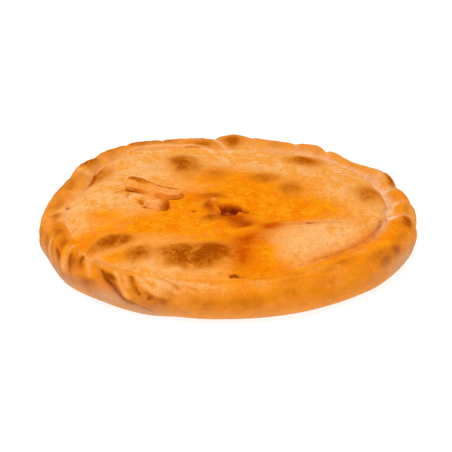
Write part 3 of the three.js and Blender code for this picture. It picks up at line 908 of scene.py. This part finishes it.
# The right half is pressed in along its middle like a boat, the left half along a slanting line.
aside = py - np.interp(px, *strip_points.T)
boat = np.exp(-((aside / 2.4) ** 2)) * between(px, (-57, -50), (-38, -34))
slant = stroke(px, py, SLANT_LINE, 2)
raise_points(strip, -(BOAT_DEPTH * boat + SLANT_DEPTH * slant) * smooth(lift, 1, 3.5))
# It browned along its far edge, at the broad left end and low down, and round the boat; the dark
# foot of its near side under the broad left end is a painted shadow.
left_half = 1 - smooth(px, -64, -54)
far_edge = smooth(aside + 4.5 * left_half, 0.5, 3.6)
near_edge = smooth(-aside, 1.4, 3.6) * smooth(px, -58, -50) * (1 - smooth(lift, 2.2, 4))
# Painted shadow at the foot of the near side, under the broad left end.
foot_shadow = smooth(-aside, 2, 5) * (1 - smooth(lift, 1.5, 3.5)) * (1 - smooth(px, -66, -58))
boat_edge = np.exp(-(((np.abs(aside) - 3.2) / 0.9) ** 2))
boat_edge = boat_edge * smooth(px, -56, -48) * smooth(lift, 1, 3)
browned = laid_on(0, [
    (0.5, far_edge), (0.4, near_edge), (0.5, foot_shadow), (0.35, boat_edge),
    (0.1, 1 - smooth(lift, 0, 2)), (0.15, left_half * smooth(px, -76, -70)),
])
paled = smooth(px, -60, -46) * (1 - far_edge) * (1 - near_edge)
lay_masks(strip, browned=browned, oiled=0.35, paled=paled)

curl, curl_points, curl_lengths = drawn_scrap("short_curl", CURL_ROUTE)
px, py, lift = finish_scrap(curl, curl_points, curl_lengths)
# It is dented near its left end, and browned in the dent, at its right end and low down.
dent = spot(px, py, *DENT)
raise_points(curl, -DENT_DEPTH * dent * smooth(lift, 1, 3))
right_end = smooth(px, -52, -44)
browned = laid_on(0, [(0.15, 1 - smooth(lift, 0, 2)), (0.6, right_end), (0.4, dent)])
lay_masks(curl, browned=browned, oiled=0.2, paled=1 - right_end)

for piece, node in ((strip, "dough_strip"), (curl, "dough_curl")):
    for size, height in SCRAP_UNEVENNESS:
        roughen(piece, size, height)
    piece.data.materials.append(baked_dough)
    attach(piece, "root")
    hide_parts(node)


# ---------------------------------------------------------------------------------------
# The filling that shows at the bottom of the vent: stewed peppers and onion in a thick red
# sauce. Each lump is made as an oval, and then they run together into one mass.

# Lumps as x, y, height above the vent's floor and half sizes along x, y and z, in mm.
LUMPS = [
    (-1.4, -17.4, 1.0, 2.1, 2.0, 1.5), (1.6, -18.6, 1.2, 1.9, 2.3, 1.6),
    (3.6, -17.9, 0.9, 1.6, 1.7, 1.3), (0.4, -16.6, 1.5, 1.4, 1.3, 1.2),
]
MERGED_WITHIN = 0.22    # size of the cells in which the lumps run together, in mm
LUMP_SIZE, LUMP_HEIGHT = 1.5, 0.5   # of the unevenness of the sauce

vent_floor = float(lid_height(np.array([VENT_X]), np.array([VENT_Y]))[0])
lumps = []
for lump_x, lump_y, lump_z, half_x, half_y, half_z in LUMPS:
    bpy.ops.object.select_all(action="DESELECT")
    bpy.ops.mesh.primitive_uv_sphere_add(segments=24, ring_count=16, radius=1)
    lump = bpy.context.active_object
    bpy.ops.object.mode_set(mode="EDIT")
    bpy.ops.transform.resize(value=(half_x * MM, half_y * MM, half_z * MM))
    middle = (lump_x + shift_x, lump_y + shift_y, vent_floor + lump_z)
    bpy.ops.transform.translate(value=[offset * MM for offset in middle])
    bpy.ops.object.mode_set(mode="OBJECT")
    lumps.append(lump)
for lump in lumps:
    lump.select_set(True)
bpy.ops.object.join()
filling = bpy.context.active_object
filling.name = filling.data.name = "stewed_filling"
merging = filling.modifiers.new("merging", "REMESH")
merging.voxel_size = MERGED_WITHIN * MM
bpy.ops.object.modifier_apply(modifier=merging.name)
roughen(filling, LUMP_SIZE, LUMP_HEIGHT)
bpy.ops.object.shade_smooth()

SAUCE_RED = srgb(188, 74, 10)
SAUCE_DARK = srgb(140, 44, 8)
PEPPER_GREEN = srgb(190, 164, 40)
PIECE_SIZE, FLECK_SIZE = 2.2, 3     # of the stewed pieces and of the flecks of pepper, in mm

stew = bpy.data.materials.new("stewed_peppers")
stew.use_nodes = True
shader = stew.node_tree.nodes["Principled BSDF"]
wire = Wire(stew.node_tree)
coords = wire.node("ShaderNodeTexCoord", {}, {}, output=3)
pieces = (coords.noise(PIECE_SIZE, 2) * 2.4 - 0.7).clamped()
flecks = (coords.noise(FLECK_SIZE, 1) * 7 - 4.4).clamped()
colour = flecks.blend(pieces.blend(SAUCE_DARK, SAUCE_RED), PEPPER_GREEN)
links = stew.node_tree.links
links.new(colour.socket, shader.inputs["Base Color"])
links.new((0.6 - pieces * 0.2).socket, shader.inputs["Roughness"])
shader.inputs["Specular IOR Level"].default_value = 0.04
filling.data.materials.append(stew)
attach(filling, "root")
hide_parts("filling")


# ---------------------------------------------------------------------------------------
# The stage, which is no part of the empanada: a plain pale table, a bright room, one broad soft
# lamp up to the front left, and a camera in front that looks slightly down. In metres.

TABLE_WIDTH = 6
TABLE_GREY, TABLE_GLOW = 0.3, 0.8   # it glows, so that it is white up to the edge of the picture
ROOM_LIGHT = 0.83
LAMP_PLACE = Vector((-0.25, -0.45, 1.2))
LAMP_WIDTH, LAMP_POWER = 0.7, 5.6
CAMERA_ELEVATION = radians(24)
CAMERA_DISTANCE = 1.0
CAMERA_TARGET = Vector((-0.0023, -0.001, 0.0115))
LENS, SENSOR_WIDTH = 107.2, 36      # of the camera, in mm

bpy.ops.object.select_all(action="DESELECT")
bpy.ops.mesh.primitive_plane_add(size=TABLE_WIDTH, location=(0, 0, 0))
table = bpy.context.active_object
table.name = table.data.name = "table"
table_paint = bpy.data.materials.new("pale_table")
table_paint.use_nodes = True
shader = table_paint.node_tree.nodes["Principled BSDF"]
shader.inputs["Base Color"].default_value = (TABLE_GREY, TABLE_GREY, TABLE_GREY, 1)
shader.inputs["Roughness"].default_value = 0.9
shader.inputs["Emission Color"].default_value = (1, 1, 1, 1)
shader.inputs["Emission Strength"].default_value = TABLE_GLOW
table.data.materials.append(table_paint)

scene = bpy.context.scene
scene.view_settings.view_transform = "Standard"
room = bpy.data.worlds.new("bright_room")
room.use_nodes = True
room.node_tree.nodes["Background"].inputs["Color"].default_value = (1, 1, 1, 1)
room.node_tree.nodes["Background"].inputs["Strength"].default_value = ROOM_LIGHT
scene.world = room

bpy.ops.object.light_add(type="AREA", location=LAMP_PLACE)
lamp = bpy.context.active_object
lamp.name = "soft_lamp"
lamp.data.shape = "DISK"
lamp.data.size = LAMP_WIDTH
lamp.data.energy = LAMP_POWER
lamp.rotation_euler = (-LAMP_PLACE).to_track_quat("-Z", "Y").to_euler()

to_camera = Vector((0, -cos(CAMERA_ELEVATION), sin(CAMERA_ELEVATION)))
bpy.ops.object.camera_add(location=CAMERA_TARGET + to_camera * CAMERA_DISTANCE)
camera = bpy.context.active_object
camera.name = "camera"
camera.rotation_euler = (pi / 2 - CAMERA_ELEVATION, 0, 0)
camera.data.lens = LENS
camera.data.sensor_width = SENSOR_WIDTH
scene.camera = camera

bpy.context.view_layer.update()
